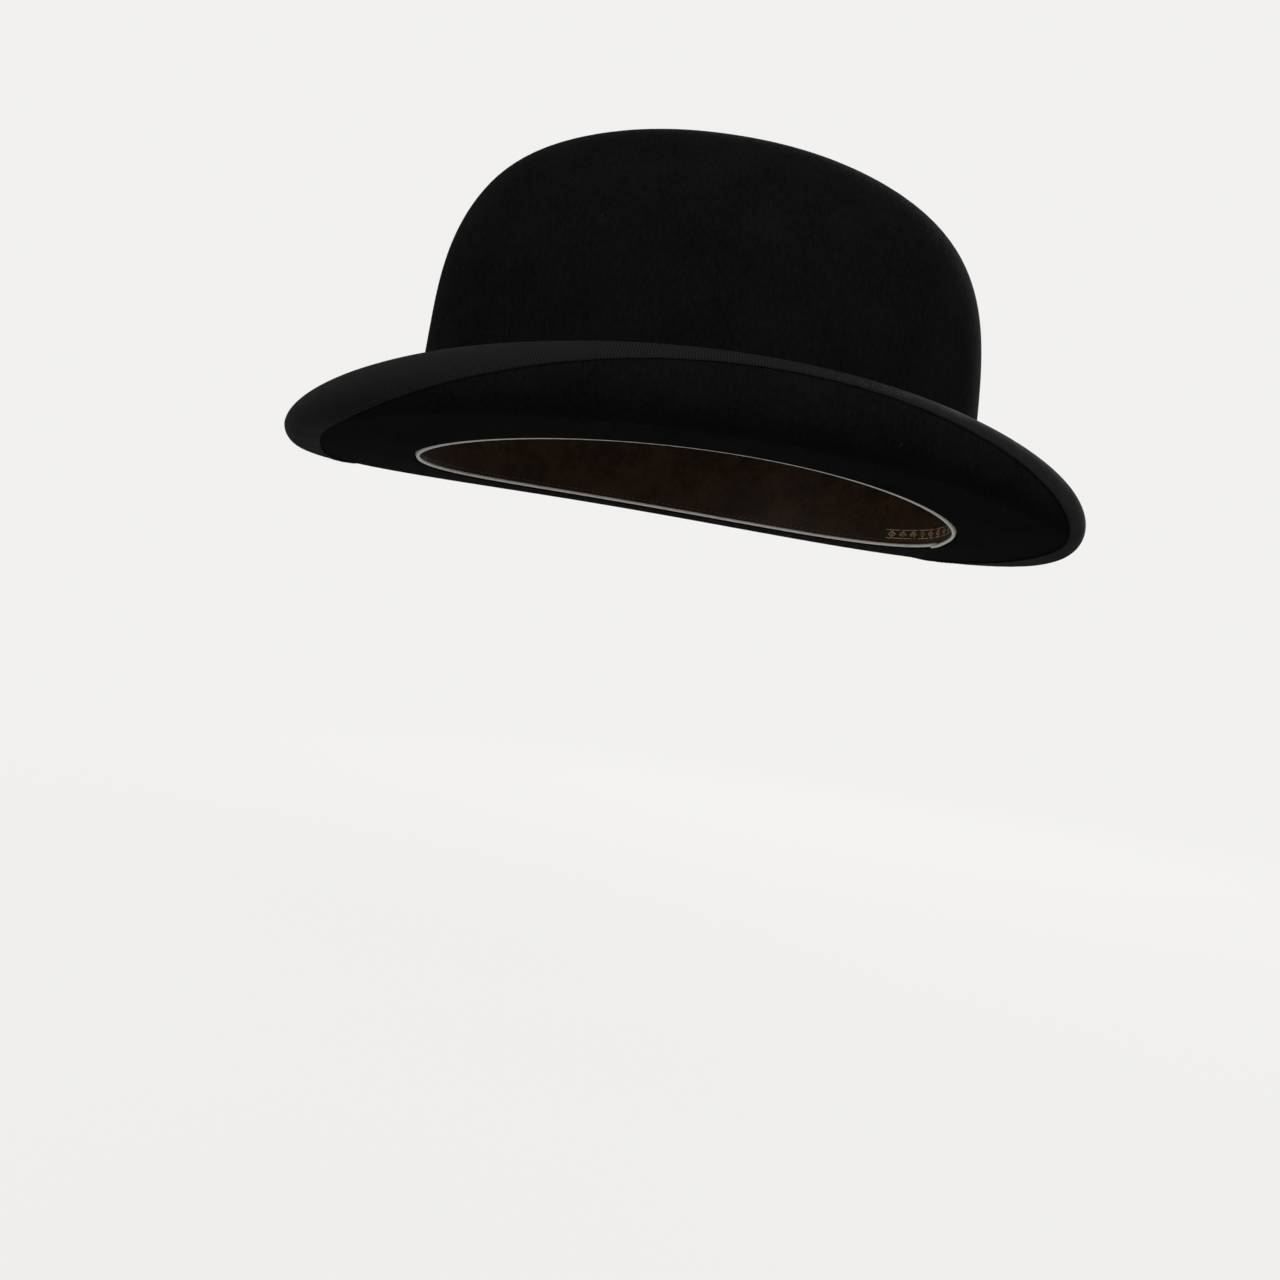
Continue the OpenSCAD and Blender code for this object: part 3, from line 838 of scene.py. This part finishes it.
def make_seam_stitches():
    """Crossed stitches over the back seam, which draw the two ends of the leather together."""
    reach, pitch, climb = 1.3 * MM, 2.5 * MM, 0.55 * MM
    radius, arch, sink = 0.17 * MM, 0.25 * MM, 0.2 * MM
    first_up, last_down = 5 * MM, 2 * MM
    dz = np.arange(LEATHER_Z + first_up, LEATHER_Z + SWEAT_H - last_down, pitch)
    half_turn = reach / HALF_W
    sets = []
    for way in (climb, -climb):
        low, high = dz - way, dz + way
        depth = SWEAT_T + leather_wave(np.full_like(dz, BACK), dz)
        starts = leather_point(np.full_like(dz, BACK - half_turn), low, depth)
        ends = leather_point(np.full_like(dz, BACK + half_turn), high, depth)
        sets.append((starts, ends))
    starts, ends = (np.concatenate(kind) for kind in zip(*sets))
    ups = np.repeat([[0.0, -1.0, 0.0]], len(starts), 0)
    sewn = stitches("back_seam_stitches", starts, ends, ups, radius, arch, sink)
    return place(sewn, "leather_thread", "leather_thread", "seam_thread")


def reed_path(t):
    """How much of its move out of the first end's way the reed has made: 0 to 1 at its second end."""
    past = np.clip((t - (REED_JOIN + TURN - REED_BEND)) / REED_BEND, 0, 1)
    return past * past * (3 - 2 * past)


def make_tape():
    """The white tape: round the reed, and up behind the leather to where it is sewn."""
    t = REED_JOIN + np.linspace(np.radians(0.4), TURN + REED_OVERLAP, 720)[:, None]
    step = reed_path(t)
    turned = np.radians(-20 - 270 * np.linspace(0, 1, 16))[None]
    pucker = 0.03 * MM * ripple(t, (89, 131, 173)) * np.sin(turned)
    down, inward = REED_DROP * step, REED_STEP_IN * step
    flange = np.array([8 * MM, 5 * MM, 2.2 * MM, REED_Z + 0.3 * MM])[None]    # from its top down
    flange_in = FELT_T + 0.08 * MM

    def skin(inset):
        r = REED_R - inset + pucker
        return np.concatenate([
            beside(t, -flange_in - inset + 0 * flange, flange - down * 0.5),
            beside(t, r * np.cos(turned) - REED_IN - inward, REED_Z - down + r * np.sin(turned)),
        ], 1)

    tape = strip("reed_tape", skin(0), skin(TAPE_T), ring=False)
    return place(tape, "tape", "reed_tape", "reed_cover")


def make_reed():
    """The reed inside the tape, which runs a little past both of its ends."""
    radius = REED_R - TAPE_T - 0.08 * MM
    t = REED_JOIN + np.linspace(np.radians(0.5), TURN + REED_OVERLAP * 0.97, 480)[:, None]
    step = reed_path(t)
    line = beside(t, -REED_IN - REED_STEP_IN * step, REED_Z - REED_DROP * step)
    up = np.zeros_like(line)
    up[..., 2] = 1
    reed = tubes("reed_cane", line.reshape(1, -1, 3), up.reshape(1, -1, 3), radius, sides=12)
    return place(reed, "reed", "reed", "reed_core")


# ---- lining ----

def lining_depth(z):
    return LINING_IN + LINING_LEAN * (z / LINING_SEAM_Z) ** 4


def wide_folds(t):
    """Folds of uneven width round the lining, from 0 to 1."""
    return np.abs(np.sin(43 * t + 0.9 * np.sin(9 * t)))


def gathers(t, z):
    """Folds of the satin, drawn up tight at the seam with the tip and smooth below GATHER_Z."""
    tight_depth, loose_depth = 1.7 * MM, 0.5 * MM
    share = np.clip((z - GATHER_Z) / (LINING_SEAM_Z - GATHER_Z), 0, 1)
    narrow_folds = np.abs(np.sin(67 * t + 1.3 * np.sin(7 * t)))
    tight = wide_folds(t) * 0.55 + narrow_folds * 0.45
    loose = 1 + ripple(t, (13, 19, 29))
    return tight_depth * share ** 1.3 * tight + loose_depth * np.sin(np.pi * share) * loose


def make_lining_side():
    """The satin round the side of the crown, from behind the leather up to the seam with the tip."""
    t = angles(800)
    low = rise(t) + LINING_LOW
    z = mix(low, LINING_SEAM_Z, np.linspace(0, 1, 32)[None])
    fold = gathers(t, z)
    back = crown_point(t, z, lining_depth(z) + fold)
    front = crown_point(t, z, lining_depth(z) + fold + SATIN_T)
    side = strip("lining_side_satin", front, back)
    place(side, "satin", "satin", "lining_side")
    cut_z = 60 * MM                 # where the satin still has the length that it was cut to
    middle = crown_point(t[:, 0], cut_z, lining_depth(cut_z))
    girth = lengths(middle, True)[-1]
    height = lengths(back[0], False)[-1]
    return side


def make_lining_tip():
    """The oval of satin over the top of the head, gathered a little all round into its seam."""
    fold_depth, fold_reach, sag_depth = 0.5 * MM, 5 * MM, 1.2 * MM
    t = angles(512)
    depth = LINING_IN + LINING_LEAN
    low = LINING_SEAM_Z + 0.2 * MM
    share = sin_spaced(26)[None]
    z = mix(low, CROWN_H - depth - SATIN_T, share)
    near_rim = np.exp(-(z - low) / fold_reach)
    fold = fold_depth * near_rim * wide_folds(t)
    sag = sag_depth * (1 - near_rim)
    inside = crown_point(t, z, depth + SATIN_T + fold) - stack(0, 0, sag * share)
    outside = crown_point(t, z, depth + fold) - stack(0, 0, sag * share)
    top = CROWN_H - depth - sag_depth
    tip = dome("lining_tip_satin", np.concatenate([inside[:, ::-1], outside], 1),
               (0, 0, top - SATIN_T), (0, 0, top))
    place(tip, "satin", "satin", "lining_tip")
    rim = crown_point(angles(180)[:, 0], low, depth)
    return tip


# ---- camera, floor and light ----

def look(thing, place_at, aim, roll=0.0):
    """Puts a camera or lamp somewhere and turns it to look at a point that isn't right above or below."""
    back = (place_at - aim).normalized()
    right = Vector((0, 0, 1)).cross(back).normalized()
    up = back.cross(right)
    turned = right * np.cos(roll) + up * np.sin(roll)
    up = up * np.cos(roll) - right * np.sin(roll)
    thing.matrix_world = Matrix.Translation(place_at) @ Matrix((turned, up, back)).transposed().to_4x4()


def make_camera():
    """The hat's left side, from just under the brim and a little to the front."""
    aim = Vector((-3.15, -9.64, -52.56)) * MM
    azimuth, elevation, roll = np.radians(77.83), np.radians(-1.14), np.radians(8.27)
    distance = 483.65 * MM
    level = np.cos(elevation)
    back = Vector((np.sin(azimuth) * level, -np.cos(azimuth) * level, np.sin(elevation)))
    camera = bpy.data.objects.new("camera", bpy.data.cameras.new("camera"))
    camera.data.lens = 36.5625
    camera.data.sensor_width = 36
    camera.data.clip_start = 0.01
    camera.data.clip_end = 50
    bpy.context.scene.collection.objects.link(camera)
    look(camera, aim + back * distance, aim, roll)
    bpy.context.scene.camera = camera


PALE = (0.885, 0.877, 0.862)
# The camera sees the floor and the world glow at full strength. They light the hat with these shares.
FLOOR_GLOW = 0.36
WORLD_GLOW = 0.6


def make_floor():
    """A pale floor that fades into the pale surroundings, so that it hardly shows a horizon."""
    drop, radius = 0.2, 12.0        # how far it is below the hat, and its size
    fade_from, fade_to = 0.2, 1.8
    least_glow = 0.9                # the share of its shader that glows, in its middle
    mesh = bpy.data.meshes.new("floor")
    shape = bmesh.new()
    bmesh.ops.create_circle(shape, cap_ends=True, segments=96, radius=radius)
    shape.to_mesh(mesh)
    shape.free()
    floor = bpy.data.objects.new("floor", mesh)
    floor.location = (0, 0, cad_box[0].z - drop)
    bpy.context.scene.collection.objects.link(floor)
    material = bpy.data.materials.new("floor")
    material.use_nodes = True
    tree = material.node_tree
    tree.nodes.clear()
    add = tree.nodes.new
    link = tree.links.new
    output, mixed = add("ShaderNodeOutputMaterial"), add("ShaderNodeMixShader")
    near, far = add("ShaderNodeBsdfDiffuse"), add("ShaderNodeEmission")
    near.inputs["Color"].default_value = (0.7, 0.695, 0.685, 1)
    far.inputs["Color"].default_value = (*PALE, 1)
    place_at, distance = add("ShaderNodeTexCoord"), add("ShaderNodeVectorMath")
    fade = add("ShaderNodeMapRange")
    distance.operation = "LENGTH"
    fade.interpolation_type = "SMOOTHSTEP"
    fade.inputs["From Min"].default_value = fade_from
    fade.inputs["From Max"].default_value = fade_to
    fade.inputs["To Min"].default_value = least_glow
    seen, glow = add("ShaderNodeLightPath"), add("ShaderNodeMapRange")
    glow.inputs["To Min"].default_value = FLOOR_GLOW
    link(seen.outputs["Is Camera Ray"], glow.inputs["Value"])
    link(glow.outputs[0], far.inputs["Strength"])
    link(place_at.outputs["Object"], distance.inputs[0])
    link(distance.outputs["Value"], fade.inputs["Value"])
    link(fade.outputs[0], mixed.inputs[0])
    link(near.outputs[0], mixed.inputs[1])
    link(far.outputs[0], mixed.inputs[2])
    link(mixed.outputs[0], output.inputs[0])
    mesh.materials.append(material)


def make_light():
    """A pale world and four soft lamps. Each has its place, size and power in metres and watts."""
    aim = Vector((0, 0, 0.05))
    world = bpy.data.worlds.new("studio")
    world.use_nodes = True
    tree = world.node_tree
    tree.nodes["Background"].inputs["Color"].default_value = (*PALE, 1)
    seen = tree.nodes.new("ShaderNodeLightPath")
    strength = tree.nodes.new("ShaderNodeMapRange")
    strength.inputs["To Min"].default_value = WORLD_GLOW
    tree.links.new(seen.outputs["Is Camera Ray"], strength.inputs["Value"])
    tree.links.new(strength.outputs[0], tree.nodes["Background"].inputs["Strength"])
    bpy.context.scene.world = world
    bpy.context.scene.view_settings.view_transform = "Standard"
    for name, spot, size, power in (
        ("key", (1.35, 0.35, 0.8), 1.0, 12.5),
        ("low_fill", (0.9, -0.9, -0.05), 0.5, 3.0),
        ("far_side", (-1.3, 0.7, 0.6), 1.2, 22.0),
        ("front", (-0.6, -1.5, 0.7), 1.0, 4.5),
    ):
        lamp = bpy.data.objects.new(name, bpy.data.lights.new(name, "AREA"))
        lamp.data.size = size
        lamp.data.energy = power
        bpy.context.scene.collection.objects.link(lamp)
        look(lamp, Vector(spot), aim)


make_camera()
make_floor()
make_light()
make_felt()
make_binding()
make_binding_stitches()
make_band()
make_loops()
make_tails()
make_knot()
make_sweatband()
make_sweatband_stitches()
make_seam_stitches()
make_tape()
make_reed()
make_lining_side()
make_lining_tip()
